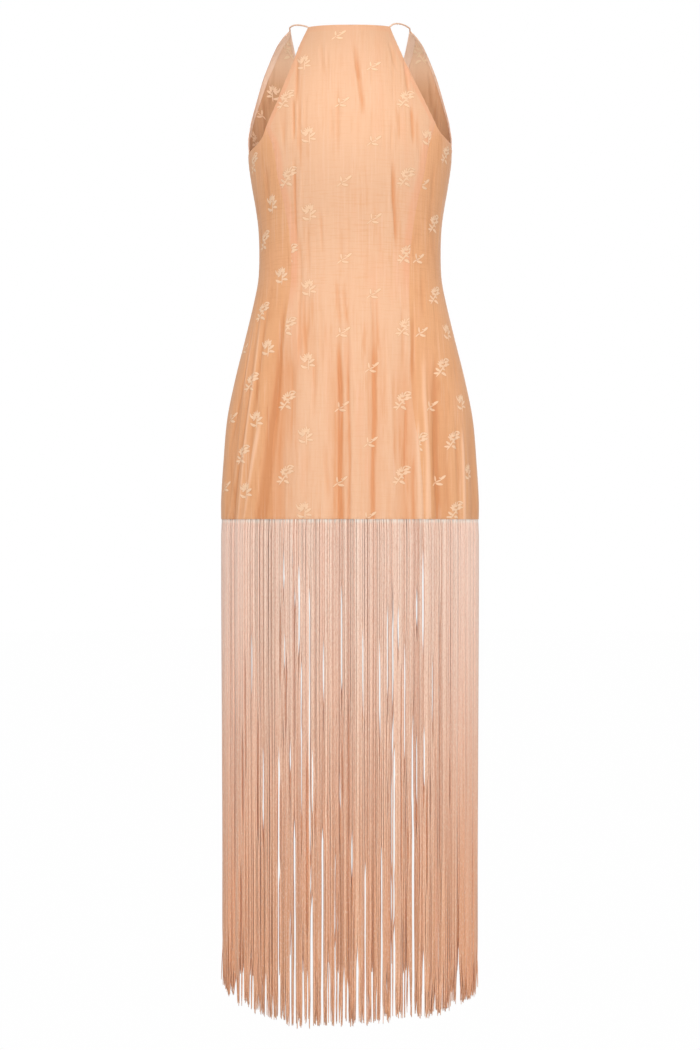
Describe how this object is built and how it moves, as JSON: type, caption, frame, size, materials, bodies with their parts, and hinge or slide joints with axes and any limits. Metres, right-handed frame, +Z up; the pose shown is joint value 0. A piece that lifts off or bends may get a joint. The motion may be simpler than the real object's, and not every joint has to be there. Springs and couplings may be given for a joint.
{
  "type": "fringed maxi dress",
  "caption": "Fitted sleeveless dress of thin figured satin with a high straight front neck, low scooped back, rouleau straps and a deep hem fringe.",
  "frame": {"origin": "midway between the places where the two straps cross the top of the wearer's shoulders", "axes": "+Z up along the wearer, the front of the dress faces -Y, +X to the viewer's right from the front"},
  "size_m": [0.36, 0.2341, 1.3654],
  "materials": {
    "satin": "thin crinkled satin weave with raised tone-on-tone rose sprigs",
    "satin_side": "the same satin cut on the other grain, so deeper in tone",
    "facing": "plain matt bias strip",
    "fringe": "soft twisted rayon yarn, cut ends"
  },
  "bodies": {
    "root": {"front_centre": "satin", "front_side_left": "satin_side", "front_side_right": "satin_side", "back_left": "satin", "back_right": "satin", "back_facing_armhole_left": "facing", "back_facing_armhole_right": "facing", "back_facing_neck_left": "facing", "back_facing_neck_right": "facing", "strap_left": "satin", "strap_right": "satin", "fringe_front": "fringe", "fringe_back": "fringe"}
  },
  "joints": []
}
